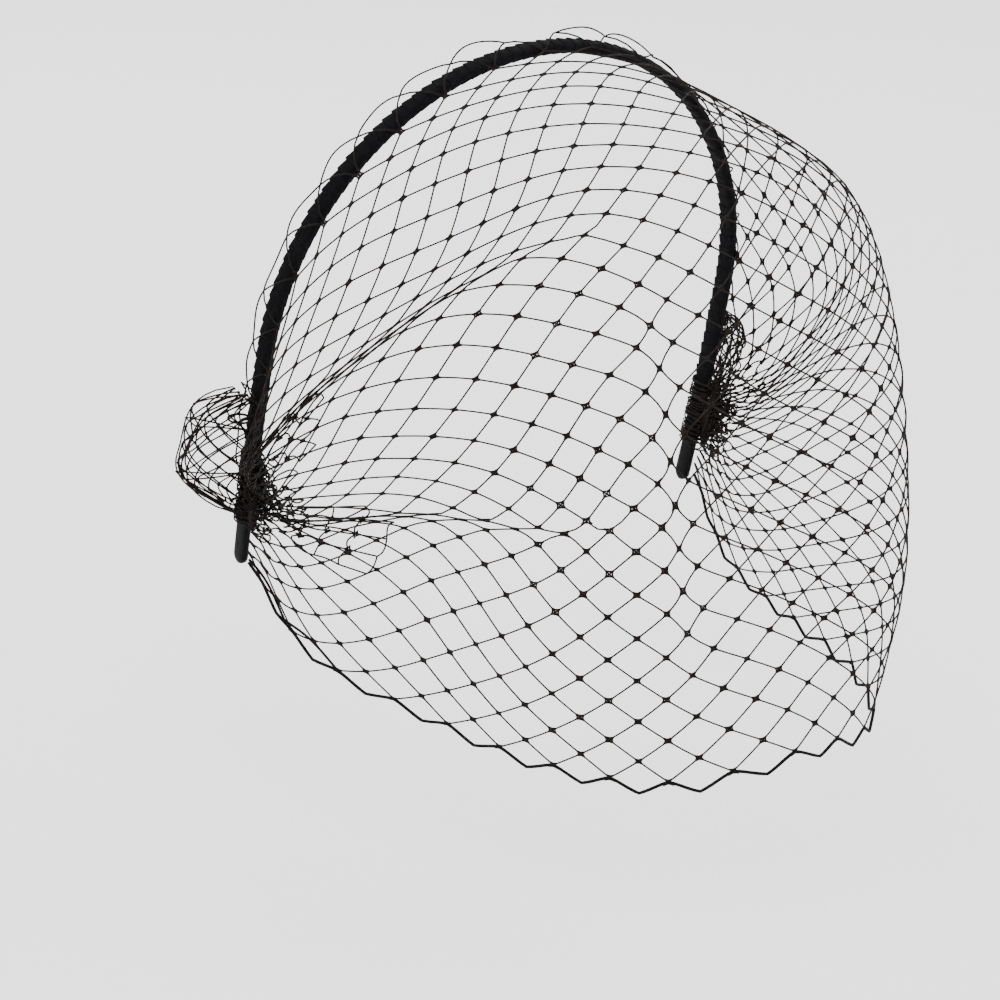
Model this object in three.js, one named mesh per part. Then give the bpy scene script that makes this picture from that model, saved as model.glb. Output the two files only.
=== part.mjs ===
// Birdcage veil: a narrow ribbon-wound headband with an open net sewn along its front edge.
// The net falls over the brow and face to a corded lower edge, and is drawn together at each
// end of the band. Millimetres, +Z up, the face looks towards -Y. The origin is the middle of
// the band's underside, where it rests on the crown of the head.
import * as THREE from 'three';

// Headband
const BAND_RADIUS = 77; // half the width across the arch, to the middle of its thickness
const BAND_LEG = 60; // leg below the widest level, along the band
const BAND_TUCK = 1.7; // how far a tip leans in from the widest level
const BAND_TILT = 14.6; // degrees that the legs lean back
const CORE_WIDTH = 4.4;
const CORE_THICKNESS = 1.6;
const WOUND_WIDTH = 6;
const WOUND_THICKNESS = 3.4;
const BARE_TIP = 12; // length of core that shows past the winding
const RIBBON_PITCH = 8; // advance of one turn of the winding
const RIBBON_STEP = 0.25; // height of a turn's raised edge

// Net
const VEIL_REACH = 105; // lowest point of the front, forward of the band
const VEIL_DROP = 163; // the same point, below the origin
const NET_WALL = 1.2;
const NET_COLUMNS = 8;
const NET_ROWS = 7;
const GAP_SHARE = 0.72; // size of a gap over the diamond that it is cut from
const NET_END = 0.955; // share of the half length at which the open net stops
const CORD_DIAMETER = 1;
const CORD_ZIGZAG = 4.6; // depth of the lower edge's points
const CORD_POINTS = 22; // points of the lower edge

// Gathers
const GATHER_FROM_TIP = 22; // from a tip along the band to the middle of its gather
const GATHER_SPREAD = 20; // length of band that a gather covers
const GATHER_THICKNESS = 3.4;
const GATHER_FOLDS = 7;
const FOLD_DEPTH = 0.5;

// Tails: the loose ends of the net, which stand out past the gathers
const TAIL_COLUMNS = 2;
const TAIL_ROWS = 2;
const TAIL_REACH = 16; // from the band's outer face
const TAIL_LEAN = 28; // degrees that a tail leans back from straight outwards
const TAIL_ROOT = 29; // length of band at a tail's root
const TAIL_SPREAD = 33; // length of its free edge
const TAIL_RISE = 11; // from the middle of a gather up to the middle of its tail
const TAIL_WAVE = 1.6; // depth of the ruffle in its free edge

// Clearances
const GAP = 0.3; // between neighbouring pieces
const CORD_GAP = 0.8; // between the net's lower edge and its cord
const GATHER_GAP = 1.2; // between the band's front edge and the end of a gather

// The net between the band and its lower edge, in equal steps down it. Each place holds the
// spread over BAND_RADIUS, the reach over VEIL_REACH and the drop over VEIL_DROP.
const VEIL_ROWS = [
  {
    front: [0, 0.24, 0.04], brow: [0.48, 0.25, 0.085], temple: [0.92, 0.26, 0.21],
    side: [1.15, 0.1, 0.4], rear: [1.15, -0.13, 0.59],
  },
  {
    front: [0, 0.57, 0.14], brow: [0.49, 0.55, 0.17], temple: [0.9, 0.45, 0.28],
    side: [1.11, 0.2, 0.46], rear: [1.14, -0.09, 0.62],
  },
  {
    front: [0, 0.75, 0.345], brow: [0.48, 0.74, 0.35], temple: [0.84, 0.6, 0.42],
    side: [1.0, 0.26, 0.55], rear: [1.04, -0.08, 0.66],
  },
  {
    front: [0, 0.84, 0.57], brow: [0.48, 0.84, 0.57], temple: [0.78, 0.69, 0.61],
    side: [0.86, 0.3, 0.66], rear: [0.94, -0.08, 0.71],
  },
  {
    front: [0, 0.91, 0.785], brow: [0.47, 0.9, 0.8], temple: [0.76, 0.68, 0.82],
    side: [0.85, 0.3, 0.81], rear: [0.94, -0.06, 0.8],
  },
  {
    front: [0, 1, 1], brow: [0.42, 0.87, 1.03], temple: [0.65, 0.6, 1.03],
    side: [0.79, 0.25, 0.99], rear: [0.92, -0.06, 0.9],
  },
];
const PLACES = ['front', 'brow', 'temple', 'side', 'rear'];

// How far the net's top edge has run along the band, over gatherAt, at each place
const TOP_RUN = { front: 0, brow: 0.24, temple: 0.47, side: 0.68, rear: 0.85 };

const materials = {
  core: new THREE.MeshStandardMaterial({ color: 0x0b0b0c, roughness: 0.25, metalness: 0 }),
  ribbon: new THREE.MeshStandardMaterial({ color: 0x121214, roughness: 0.75, metalness: 0 }),
  net: new THREE.MeshStandardMaterial({ color: 0x17130f, roughness: 0.8, metalness: 0 }),
  cord: new THREE.MeshStandardMaterial({ color: 0x0c0a09, roughness: 0.7, metalness: 0 }),
};

// Band

const tilt = THREE.MathUtils.degToRad(BAND_TILT);
const down = new THREE.Vector3(0, Math.sin(tilt), -Math.cos(tilt));
const forward = new THREE.Vector3(0, -Math.cos(tilt), -Math.sin(tilt));
const quarter = (BAND_RADIUS * Math.PI) / 2;
const halfBand = quarter + BAND_LEG;
const gatherAt = halfBand - GATHER_FROM_TIP;

// Middle of the band's thickness, run mm along it from the crown, negative to the wearer's right
function archPoint(run) {
  const along = Math.abs(run);
  const angle = Math.min(along, quarter) / BAND_RADIUS;
  const leg = Math.max(along - quarter, 0);
  const across = BAND_RADIUS * Math.sin(angle) - BAND_TUCK * (leg / BAND_LEG) ** 2;
  const fall = BAND_RADIUS * (1 - Math.cos(angle)) + leg;
  const point = new THREE.Vector3(Math.sign(run) * across, 0, WOUND_THICKNESS / 2);
  return point.addScaledVector(down, fall);
}

function archOutward(run) {
  const step = 0.5;
  const tangent = archPoint(run + step).sub(archPoint(run - step)).normalize();
  return new THREE.Vector3().crossVectors(tangent, forward).normalize().negate();
}

function bandPoint(run, ahead, outward) {
  return archPoint(run).addScaledVector(forward, ahead).addScaledVector(archOutward(run), outward);
}

// Outline of the band's section, a rectangle with its corners cut
function bandRing(run, width, thickness, corner) {
  const w = width / 2;
  const t = thickness / 2;
  const c = Math.min(corner, w / 2, t / 2);
  const outline = [
    [w - c, -t], [-w + c, -t], [-w, -t + c], [-w, t - c],
    [-w + c, t], [w - c, t], [w, t - c], [w, -t + c],
  ];
  return outline.map(([ahead, outward]) => bandPoint(run, ahead, outward));
}

// Mesh building

class Shell {
  constructor() {
    this.positions = [];
    this.index = [];
  }

  add(point) {
    this.positions.push(point.x, point.y, point.z);
    return this.positions.length / 3 - 1;
  }

  quad(a, b, c, d) {
    this.index.push(a, b, c, a, c, d);
  }

  mesh(name, material) {
    const geometry = new THREE.BufferGeometry();
    geometry.setAttribute('position', new THREE.Float32BufferAttribute(this.positions, 3));
    geometry.setIndex(this.index);
    geometry.computeVertexNormals();
    const mesh = new THREE.Mesh(geometry, material);
    mesh.name = name;
    return mesh;
  }
}

// Skin through rings of equal count; outward says which way its faces look
function skin(shell, rings, outward) {
  const ids = rings.map((ring) => ring.map((point) => shell.add(point)));
  for (let i = 0; i + 1 < ids.length; i += 1) {
    for (let j = 0; j < ids[i].length; j += 1) {
      const k = (j + 1) % ids[i].length;
      const corners = [ids[i][j], ids[i][k], ids[i + 1][k], ids[i + 1][j]];
      shell.quad(...(outward ? corners : corners.reverse()));
    }
  }
  return ids;
}

function cap(shell, ring) {
  for (let i = 1; i + 1 < ring.length; i += 1) shell.index.push(ring[0], ring[i], ring[i + 1]);
}

function evenly(from, to, steps) {
  return Array.from({ length: steps + 1 }, (_, i) => from + ((to - from) * i) / steps);
}

function headbandCore() {
  const shell = new Shell();
  const steps = 40;
  const round = CORE_WIDTH / 2;
  const body = evenly(round - halfBand, halfBand - round, steps).map((run) => [run, 1]);
  const nose = [0.45, 0.8, 0.97].map((share) => [halfBand - round + share * round, Math.sqrt(1 - share ** 2)]);
  const tail = nose.map(([run, width]) => [-run, width]).reverse();
  const rings = [...tail, ...body, ...nose].map(([run, width]) => {
    const thickness = CORE_THICKNESS * (0.5 + 0.5 * width);
    return bandRing(run, CORE_WIDTH * width, thickness, CORE_THICKNESS / 4);
  });
  const ids = skin(shell, rings, true);
  cap(shell, ids[0].slice().reverse());
  cap(shell, ids[ids.length - 1]);
  return shell.mesh('headband_core', materials.core);
}

function ribbonWinding() {
  const shell = new Shell();
  const end = halfBand - BARE_TIP;
  const turns = Math.round((2 * end) / RIBBON_PITCH);
  const edge = (2 * end) / turns / 8;
  const outer = [];
  const corner = WOUND_THICKNESS / 4;
  for (const run of evenly(-end, end, turns).slice(0, -1)) {
    const low = bandRing(run, WOUND_WIDTH - 2 * RIBBON_STEP, WOUND_THICKNESS - 2 * RIBBON_STEP, corner);
    const high = bandRing(run + edge, WOUND_WIDTH, WOUND_THICKNESS, corner);
    outer.push(low, high);
  }
  outer.push(bandRing(end, WOUND_WIDTH - 2 * RIBBON_STEP, WOUND_THICKNESS - 2 * RIBBON_STEP, corner));
  const bore = evenly(-end, end, turns).map((run) => {
    return bandRing(run, CORE_WIDTH + 2 * GAP, CORE_THICKNESS + 2 * GAP, CORE_THICKNESS / 4);
  });
  const skinIds = skin(shell, outer, true);
  const boreIds = skin(shell, bore, false);
  const rim = (out, inn) => {
    for (let i = 0; i < out.length; i += 1) {
      const j = (i + 1) % out.length;
      shell.quad(out[j], out[i], inn[i], inn[j]);
    }
  };
  rim(skinIds[0], boreIds[0]);
  rim(skinIds[skinIds.length - 1].slice().reverse(), boreIds[boreIds.length - 1].slice().reverse());
  return shell.mesh('ribbon_winding', materials.ribbon);
}

// Net surface

function blend(points, at) {
  const last = points.length - 1;
  const i = Math.min(Math.max(Math.floor(at), 0), last - 1);
  const t = at - i;
  const b = points[i];
  const c = points[i + 1];
  const a = i > 0 ? points[i - 1] : b.clone().multiplyScalar(2).sub(c);
  const d = i + 1 < last ? points[i + 2] : c.clone().multiplyScalar(2).sub(b);
  const weights = [
    ((2 - t) * t - 1) * t / 2, ((3 * t - 5) * t * t + 2) / 2,
    ((4 - 3 * t) * t + 1) * t / 2, ((t - 1) * t * t) / 2,
  ];
  const point = new THREE.Vector3();
  [a, b, c, d].forEach((p, n) => point.addScaledVector(p, weights[n]));
  return point;
}

function veilPlaces(side) {
  const place = ([spread, reach, drop]) => {
    return new THREE.Vector3(side * spread * BAND_RADIUS, -reach * VEIL_REACH, -drop * VEIL_DROP);
  };
  const edge = WOUND_WIDTH / 2 + GAP + NET_WALL / 2;
  const top = PLACES.map((name) => bandPoint(side * TOP_RUN[name] * gatherAt, edge, WOUND_THICKNESS / 4));
  const rows = [top, ...VEIL_ROWS.map((row) => PLACES.map((name) => place(row[name])))];
  rows.forEach((row, i) => {
    const run = gatherAt + GATHER_SPREAD * (i / VEIL_ROWS.length - 0.5);
    row.push(bandPoint(side * run, WOUND_WIDTH / 2 + GATHER_GAP, WOUND_THICKNESS / 4));
  });
  return rows;
}

const leftPlaces = veilPlaces(1);
const rightPlaces = veilPlaces(-1);
const places = leftPlaces.map((row, i) => [...rightPlaces[i].slice(1).reverse(), ...row]);

// across runs from -1 at the wearer's right gather to 1 at the left one, downward from 0 to 1
function veilPoint(across, downward) {
  const column = (across + 1) * PLACES.length;
  return blend(places.map((row) => blend(row, column)), downward * VEIL_ROWS.length);
}

// Which way a surface of two shares faces, for a first share that grows to the left seen from
// outside and a second one that grows downward
function normalOf(surface, across, downward, low = 0) {
  const step = 0.01;
  const a = THREE.MathUtils.clamp(across, low + step, 1 - step);
  const d = THREE.MathUtils.clamp(downward, step, 1 - step);
  const alongRow = surface(a + step, d).sub(surface(a - step, d));
  const downColumn = surface(a, d + step).sub(surface(a, d - step));
  return downColumn.cross(alongRow).normalize();
}

function veilNormal(across, downward) {
  return normalOf(veilPoint, across, downward, -1);
}

// A wall of diamonds, each cut through, on a grid that has four steps to a diamond. The tiles
// at its two ends stay whole.
function netWall(name, surface, columns, rows) {
  const shell = new Shell();
  const width = 4 * columns;
  const height = 4 * rows;
  const known = new Map();
  const vertex = (a, b, face) => {
    const key = `${a.toFixed(3)},${b.toFixed(3)},${face}`;
    if (!known.has(key)) {
      const share = [a / width, b / height];
      const offset = (face * NET_WALL) / 2;
      const point = surface(...share).addScaledVector(normalOf(surface, ...share), offset);
      known.set(key, shell.add(point));
    }
    return known.get(key);
  };
  const onEdge = ([a, b], [c, d]) => {
    return (a === c && (a === 0 || a === width)) || (b === d && (b === 0 || b === height));
  };
  const wall = (p, q) => {
    shell.quad(vertex(...q, 1), vertex(...p, 1), vertex(...p, -1), vertex(...q, -1));
  };
  const tile = (loop, cut) => {
    const middle = [0, 1].map((n) => loop.reduce((sum, p) => sum + p[n], 0) / loop.length);
    const gap = loop.map((p) => p.map((x, n) => middle[n] + GAP_SHARE * (x - middle[n])));
    loop.forEach((p, i) => {
      const j = (i + 1) % loop.length;
      if (onEdge(p, loop[j])) wall(p, loop[j]);
      if (!cut) return;
      for (const face of [1, -1]) {
        const corners = [p, loop[j], gap[j], gap[i]].map((c) => vertex(...c, face));
        shell.quad(...(face > 0 ? corners : corners.reverse()));
      }
      wall(gap[j], gap[i]);
    });
    if (cut) return;
    for (const face of [1, -1]) {
      const ids = loop.map((p) => vertex(...p, face));
      cap(shell, face > 0 ? ids : ids.reverse());
    }
  };
  const inside = ([a, b]) => a >= 0 && a <= width && b >= 0 && b <= height;
  const diamond = (a, b) => {
    const outline = [[-2, 0], [-1, 1], [0, 2], [1, 1], [2, 0], [1, -1], [0, -2], [-1, -1]];
    const loop = outline.map(([x, y]) => [a + x, b + y]);
    if (loop.every(inside)) return loop;
    const kept = loop.filter(inside);
    const start = kept.findIndex((p, i) => {
      const before = kept[(i + kept.length - 1) % kept.length];
      return Math.hypot(p[0] - before[0], p[1] - before[1]) > 1.5;
    });
    return [...kept.slice(start), ...kept.slice(0, start), [a, b]];
  };
  for (let a = 0; a <= width; a += 2) {
    for (let b = (a / 2) % 2 ? 2 : 0; b <= height; b += 4) {
      const atSide = a === 0 || a === width;
      tile(diamond(a, b), !atSide);
    }
  }
  return shell.mesh(name, materials.net);
}

function veilNet() {
  const surface = (share, downward) => veilPoint(NET_END * (2 * share - 1), downward);
  return netWall('veil_net', surface, NET_COLUMNS, NET_ROWS);
}

// Ruffled end of the net, fanned out from the band's outer face
function netTail(side, name) {
  const lean = THREE.MathUtils.degToRad(TAIL_LEAN);
  const surface = (share, downward) => {
    const out = side > 0 ? share : 1 - share;
    const length = THREE.MathUtils.lerp(TAIL_ROOT, TAIL_SPREAD, out);
    const run = gatherAt - TAIL_RISE + length * (downward - 0.5);
    const wave = TAIL_WAVE * out * Math.sin(3 * Math.PI * downward);
    const bow = Math.sin(Math.PI * (0.1 + 0.8 * downward));
    const reach = TAIL_REACH * out * bow;
    const back = -reach * Math.sin(lean) + wave * Math.cos(lean);
    const outward = reach * Math.cos(lean) + wave * Math.sin(lean);
    return bandPoint(side * run, back, WOUND_THICKNESS / 2 + GAP + outward);
  };
  return netWall(name, surface, TAIL_COLUMNS, TAIL_ROWS);
}

// Lower edge of the net: a corded zigzag that hangs just under the wall's edge
function selvedgeCord() {
  const below = CORD_DIAMETER / 2 + CORD_GAP;
  const points = evenly(-NET_END, NET_END, 2 * CORD_POINTS).map((across, i) => {
    const edge = veilPoint(across, 1);
    const fall = edge.clone().sub(veilPoint(across, 0.98)).normalize();
    return edge.addScaledVector(fall, below + (i % 2 ? CORD_ZIGZAG : 0));
  });
  const path = new THREE.CatmullRomCurve3(points, false, 'catmullrom', 0.15);
  const section = new THREE.Shape();
  const sides = 6;
  evenly(0, 2 * Math.PI, sides).slice(0, -1).forEach((angle, i) => {
    const corner = [Math.cos(angle), Math.sin(angle)].map((x) => (x * CORD_DIAMETER) / 2);
    if (i === 0) section.moveTo(...corner);
    else section.lineTo(...corner);
  });
  const geometry = new THREE.ExtrudeGeometry(section, { steps: 4 * CORD_POINTS, extrudePath: path });
  const mesh = new THREE.Mesh(geometry, materials.cord);
  mesh.name = 'selvedge_cord';
  return mesh;
}

// End of the net, folded together into a thick bundle against the band's front edge
function gather(side, name) {
  const shell = new Shell();
  const start = NET_END + GAP / GATHER_SPREAD;
  const columns = evenly(start, 1, 3);
  const rows = evenly(0, 1, 4 * GATHER_FOLDS);
  const half = (column, row) => {
    const swell = Math.min(1, 0.35 + (column - start) / (1 - start));
    const edge = Math.sin(Math.PI * Math.min(Math.max(row, 0.06), 0.94)) ** 0.5;
    return (swell * edge * GATHER_THICKNESS) / 2;
  };
  const at = (column, row, face) => {
    const normal = veilNormal(side * start, row);
    const fold = FOLD_DEPTH * Math.cos(2 * Math.PI * GATHER_FOLDS * row);
    const offset = face * half(column, row) + fold * ((column - start) / (1 - start));
    return veilPoint(side * column, row).addScaledVector(normal, offset);
  };
  const rings = rows.map((row) => [
    ...columns.map((column) => at(column, row, 1)),
    ...columns.slice().reverse().map((column) => at(column, row, -1)),
  ]);
  const ids = skin(shell, rings, side < 0);
  const first = ids[0];
  const last = ids[ids.length - 1];
  cap(shell, side < 0 ? first.slice().reverse() : first);
  cap(shell, side < 0 ? last : last.slice().reverse());
  return shell.mesh(name, materials.net);
}

const veil = new THREE.Group();
veil.add(headbandCore());
veil.add(ribbonWinding());
veil.add(veilNet());
veil.add(selvedgeCord());
veil.add(gather(-1, 'gather_right'));
veil.add(gather(1, 'gather_left'));
veil.add(netTail(-1, 'net_tail_right'));
veil.add(netTail(1, 'net_tail_left'));

export default veil;
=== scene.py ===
"""Birdcage veil: a coarse knotted net gathered at both ends of a ribbon-wound headband.

The frame is in metres, +Z up, and the front looks towards -Y. A place on the net is a row and a
column of its knots: rows run down from the headband, columns run from the wearer's right
gather to the left one, and a knot sits where row + column is even.
"""

import logging
import math
import random
from dataclasses import dataclass, field
from enum import Enum
from typing import Sequence, TypeVar

import bmesh
import bpy
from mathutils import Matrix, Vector


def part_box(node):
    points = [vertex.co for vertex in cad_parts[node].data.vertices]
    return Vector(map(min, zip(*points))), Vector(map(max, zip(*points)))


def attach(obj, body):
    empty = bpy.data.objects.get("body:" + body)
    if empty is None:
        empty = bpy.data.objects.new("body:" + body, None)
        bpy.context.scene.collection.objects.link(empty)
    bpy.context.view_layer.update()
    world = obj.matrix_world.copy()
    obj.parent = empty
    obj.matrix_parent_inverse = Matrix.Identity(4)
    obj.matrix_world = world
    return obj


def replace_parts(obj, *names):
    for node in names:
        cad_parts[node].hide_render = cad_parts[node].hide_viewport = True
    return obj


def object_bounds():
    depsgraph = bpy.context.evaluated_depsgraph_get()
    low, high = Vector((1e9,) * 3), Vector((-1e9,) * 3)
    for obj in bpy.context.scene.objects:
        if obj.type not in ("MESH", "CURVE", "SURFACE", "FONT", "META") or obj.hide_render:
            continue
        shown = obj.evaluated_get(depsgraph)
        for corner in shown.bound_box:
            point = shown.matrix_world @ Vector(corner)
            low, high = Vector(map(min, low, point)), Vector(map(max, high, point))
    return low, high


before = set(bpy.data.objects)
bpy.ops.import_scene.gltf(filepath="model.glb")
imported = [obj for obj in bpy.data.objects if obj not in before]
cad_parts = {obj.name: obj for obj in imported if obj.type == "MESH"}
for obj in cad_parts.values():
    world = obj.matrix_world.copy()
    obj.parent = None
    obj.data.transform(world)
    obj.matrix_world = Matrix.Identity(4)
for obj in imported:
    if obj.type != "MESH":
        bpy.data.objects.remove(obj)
CAD_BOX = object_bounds()

logging.basicConfig(level=logging.INFO, format="%(name)s: %(message)s")
log = logging.getLogger("veil")

MM = 0.001
TURN = 2 * math.pi
Point = TypeVar("Point", float, Vector)


class Slot(str, Enum):
    """Material slots of the record."""

    PLASTIC = "band_plastic"
    RIBBON = "ribbon"
    NET = "net"
    CORD = "cord"


class Side(Enum):
    """A side of the wearer, with the sign of its X."""

    RIGHT = -1
    LEFT = 1


# Shape helpers


def smooth(value: float) -> float:
    """Eases a share.

    Args:
        value: any number, taken as a share and held between 0 and 1.

    Returns:
        The share with a level start and end.
    """
    t = min(max(value, 0.0), 1.0)
    return t * t * (3 - 2 * t)


def spline(points: Sequence[Point], at: float) -> Point:
    """Reads a Catmull-Rom spline.

    Args:
        points: numbers or vectors that the spline passes through.
        at: the place along it, 0 at the first point and 1 more at each next one.

    Returns:
        The number or vector there, carried on straight past either end.
    """
    last = len(points) - 1
    i = min(max(math.floor(at), 0), last - 1)
    t = at - i
    b, c = points[i], points[i + 1]
    a = points[i - 1] if i > 0 else b * 2 - c
    d = points[i + 2] if i + 1 < last else c * 2 - b
    return (
        a * (((2 - t) * t - 1) * t / 2)
        + b * (((3 * t - 5) * t * t + 2) / 2)
        + c * (((4 - 3 * t) * t + 1) * t / 2)
        + d * (((t - 1) * t * t) / 2)
    )


def skin(bm: bmesh.types.BMesh, rings: Sequence[Sequence[Vector]]) -> None:
    """Adds a closed loft through rings that run counter-clockwise about its length, mapped by
    the share of the way round and the millimetres along.

    Args:
        bm: the mesh that it goes into.
        rings: the rings' points, as many in each.
    """
    uv = bm.loops.layers.uv.verify()
    rows = [[bm.verts.new(point) for point in ring] for ring in rings]
    count = len(rows[0])
    run = 0.0
    for i in range(len(rows) - 1):
        step = (rings[i + 1][0] - rings[i][0]).length
        for s in range(count):
            t = (s + 1) % count
            face = bm.faces.new((rows[i][s], rows[i][t], rows[i + 1][t], rows[i + 1][s]))
            face.smooth = True
            spots = ((s, run), (s + 1, run), (s + 1, run + step), (s, run + step))
            for loop, (turn, along) in zip(face.loops, spots):
                loop[uv].uv = (turn / count, along / MM)
        run += step
    bm.faces.new(list(reversed(rows[0])))
    bm.faces.new(rows[-1])


def make_object(name: str, bm: bmesh.types.BMesh) -> bpy.types.Object:
    """Makes an object of a mesh in the making.

    Args:
        name: the object's name.
        bm: its mesh, which is used up.

    Returns:
        The object.
    """
    mesh = bpy.data.meshes.new(name)
    bm.to_mesh(mesh)
    bm.free()
    made = bpy.data.objects.new(name, mesh)
    bpy.context.scene.collection.objects.link(made)
    log.info("%s has %d faces", name, len(mesh.polygons))
    return made


@dataclass(frozen=True)
class Arch:
    """Centre line of the headband: half a circle that runs on into two nearly straight legs."""

    half_width: float
    length: float
    tuck: float = 1.7 * MM
    tilt: float = math.radians(14.6)
    width: float = 6 * MM
    thickness: float = 3.4 * MM

    @property
    def down(self) -> Vector:
        """Direction in which the legs run."""
        return Vector((0, math.sin(self.tilt), -math.cos(self.tilt)))

    @property
    def forward(self) -> Vector:
        """Direction across the band, towards the front."""
        return Vector((0, -math.cos(self.tilt), -math.sin(self.tilt)))

    def point(self, run: float) -> Vector:
        """Finds a point of the centre line.

        Args:
            run: distance along the band from the crown, negative to the wearer's right.

        Returns:
            The point.
        """
        quarter = self.half_width * math.pi / 2
        along = abs(run)
        angle = min(along, quarter) / self.half_width
        leg = max(along - quarter, 0.0)
        across = self.half_width * math.sin(angle)
        across -= self.tuck * (leg / (self.length - quarter)) ** 2
        fall = self.half_width * (1 - math.cos(angle)) + leg
        start = Vector((math.copysign(across, run), 0, self.thickness / 2))
        return start + self.down * fall

    def outward(self, run: float) -> Vector:
        """Outward direction at a place along the band.

        Args:
            run: distance along the band from the crown.

        Returns:
            The unit vector.
        """
        step = self.thickness / 4
        tangent = self.point(run + step) - self.point(run - step)
        return self.forward.cross(tangent).normalized()

    def place(self, run: float, ahead: float = 0.0, out: float = 0.0) -> Vector:
        """Finds a point beside the centre line.

        Args:
            run: distance along the band from the crown.
            ahead: distance towards the front.
            out: distance outward.

        Returns:
            The point.
        """
        return self.point(run) + self.forward * ahead + self.outward(run) * out


class StrandMesh:
    """Closed tubes of thread, gathered into one mesh."""

    def __init__(self, name: str, sides: int) -> None:
        """Starts an empty mesh.

        Args:
            name: the piece's name.
            sides: sides of each tube.
        """
        self.name = name
        self.sides = sides
        self.bm = bmesh.new()

    def tube(
        self, points: Sequence[Vector], radius: float, taper: Sequence[float] | None = None
    ) -> None:
        """Adds one tube.

        Args:
            points: places that its centre line passes through.
            radius: its radius.
            taper: the radius's factor at each of them, if it isn't even.
        """
        last = len(points) - 1
        rings, side = [], None
        for i, (point, factor) in enumerate(zip(points, taper or [1.0] * len(points))):
            along = (points[min(i + 1, last)] - points[max(i - 1, 0)]).normalized()
            side = along.orthogonal() if side is None else side
            side = (side - along * side.dot(along)).normalized()
            across = along.cross(side)
            ring = []
            for s in range(self.sides):
                angle = TURN * s / self.sides
                spoke = side * math.cos(angle) + across * math.sin(angle)
                ring.append(point + spoke * (radius * factor))
            rings.append(ring)
        skin(self.bm, rings)

    def finish(self) -> bpy.types.Object:
        """Turns the tubes into an object."""
        return make_object(self.name, self.bm)


# The net's form


@dataclass(frozen=True)
class VeilRow:
    """One row of places of the net, as shares: spread of the half width of the band, reach of
    the veil's reach forward and drop of its drop below the band."""

    front: tuple[float, float, float]
    near: tuple[float, float, float]
    bend: tuple[float, float, float]
    side: tuple[float, float, float]
    rear: tuple[float, float, float]

    def places(self) -> tuple[tuple[float, float, float], ...]:
        """Lists the places from the middle of the front to the gather."""
        return (self.front, self.near, self.bend, self.side, self.rear)


VEIL_ROWS = (
    VeilRow((0, 0.24, 0.04), (0.48, 0.25, 0.085), (0.92, 0.26, 0.21), (1.15, 0.1, 0.4), (1.15, -0.13, 0.59)),
    VeilRow((0, 0.57, 0.14), (0.49, 0.55, 0.17), (0.9, 0.45, 0.28), (1.11, 0.2, 0.46), (1.14, -0.09, 0.62)),
    VeilRow((0, 0.75, 0.345), (0.48, 0.74, 0.35), (0.84, 0.6, 0.42), (1.0, 0.26, 0.55), (1.04, -0.08, 0.66)),
    VeilRow((0, 0.84, 0.57), (0.48, 0.84, 0.57), (0.78, 0.69, 0.61), (0.86, 0.3, 0.66), (0.94, -0.08, 0.71)),
    VeilRow((0, 0.91, 0.785), (0.47, 0.9, 0.8), (0.76, 0.68, 0.82), (0.85, 0.3, 0.81), (0.94, -0.06, 0.8)),
    VeilRow((0, 1, 1), (0.42, 0.87, 1.03), (0.65, 0.6, 1.02), (0.79, 0.25, 0.975), (0.92, -0.1, 0.915)),
)
TOP_RUN = (0.0, 0.24, 0.47, 0.68, 0.85)  # share of the way to the gather at each place


@dataclass(frozen=True)
class Drift:
    """How far the knots of one row have slipped from an even lie, in rows down and columns
    towards the wearer's left, at the columns of DRIFT_COLUMNS."""

    row: int
    down: tuple[float, ...]
    across: tuple[float, ...]


DRIFT_COLUMNS = (-18, -12, -6, 0, 6, 12, 18)
DRIFTS = (
    Drift(-24, (0, 0, 0, 0, 0, 0, 0), (0, 0, 0, -0.4, -0.4, 0, 0)),
    Drift(-18, (0, 0, 0.8, 0.6, -0.9, -1.5, 0), (0, 0, 0, -0.4, -0.5, 0, 0)),
    Drift(-12, (0, 0.6, 2.4, 1.2, 0, -2, 0), (0, 0.3, 0, -0.1, 0.3, 0.6, 0)),
    Drift(-6, (0, -0.2, 0.2, 0.5, -0.2, -0.5, 0), (0, 0.4, 0.3, 0.3, 0.1, -0.2, 0)),
    Drift(0, (0, -0.2, 0.3, 0.2, -0.1, -0.5, 0), (0, 0.4, 0.4, 0.3, 0.1, 0, 0)),
    Drift(6, (0, -0.8, 0.1, 0.3, -0.2, -0.3, 0), (0, 0.8, 0.8, 0.1, 0.2, 0, 0)),
    Drift(12, (0, -0.9, -0.2, 0, -0.1, -0.4, 0), (0, 0.8, 0.4, 0, 0.4, 0, 0)),
    Drift(18, (0, 0.4, 0.1, -0.1, -0.5, -1.3, -0.8), (0, 0.4, 0.2, 0.3, 0.5, 0.4, 0)),
    Drift(24, (0, 0, 0, 0, -0.8, -1.6, -1.0), (0, 0.4, 0.2, 0.3, 0.5, 0.4, 0)),
)


@dataclass(frozen=True)
class Pleat:
    """A fold of the net that starts at a point and runs back to the wearer's right gather.

    With each column its line climbs by climb rows and hides growth more rows, up to most. They lie
    depth under the net, packed into a strip that is at most widest rows wide.
    """

    column: float
    row: float
    climb: float
    growth: float
    most: float
    depth: float = 1.4 * MM
    packing: float = 0.27
    widest: float = 1.6

    def line(self, column: float) -> tuple[float, float, float]:
        """Reads the fold at a column.

        Args:
            column: the column.

        Returns:
            The row at which its line lies, the rows hidden in it and its width in rows.
        """
        past = max(self.column - column, 0.0)
        hidden = min(self.growth * past, self.most)
        width = min(self.packing * hidden, self.widest)
        return self.row - self.climb * past, hidden, width


PLEATS = (
    Pleat(column=-1, row=-6.2, climb=0.3, growth=0.55, most=5.5),
    Pleat(column=-3, row=7.5, climb=0.05, growth=0.4, most=4),
)


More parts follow.
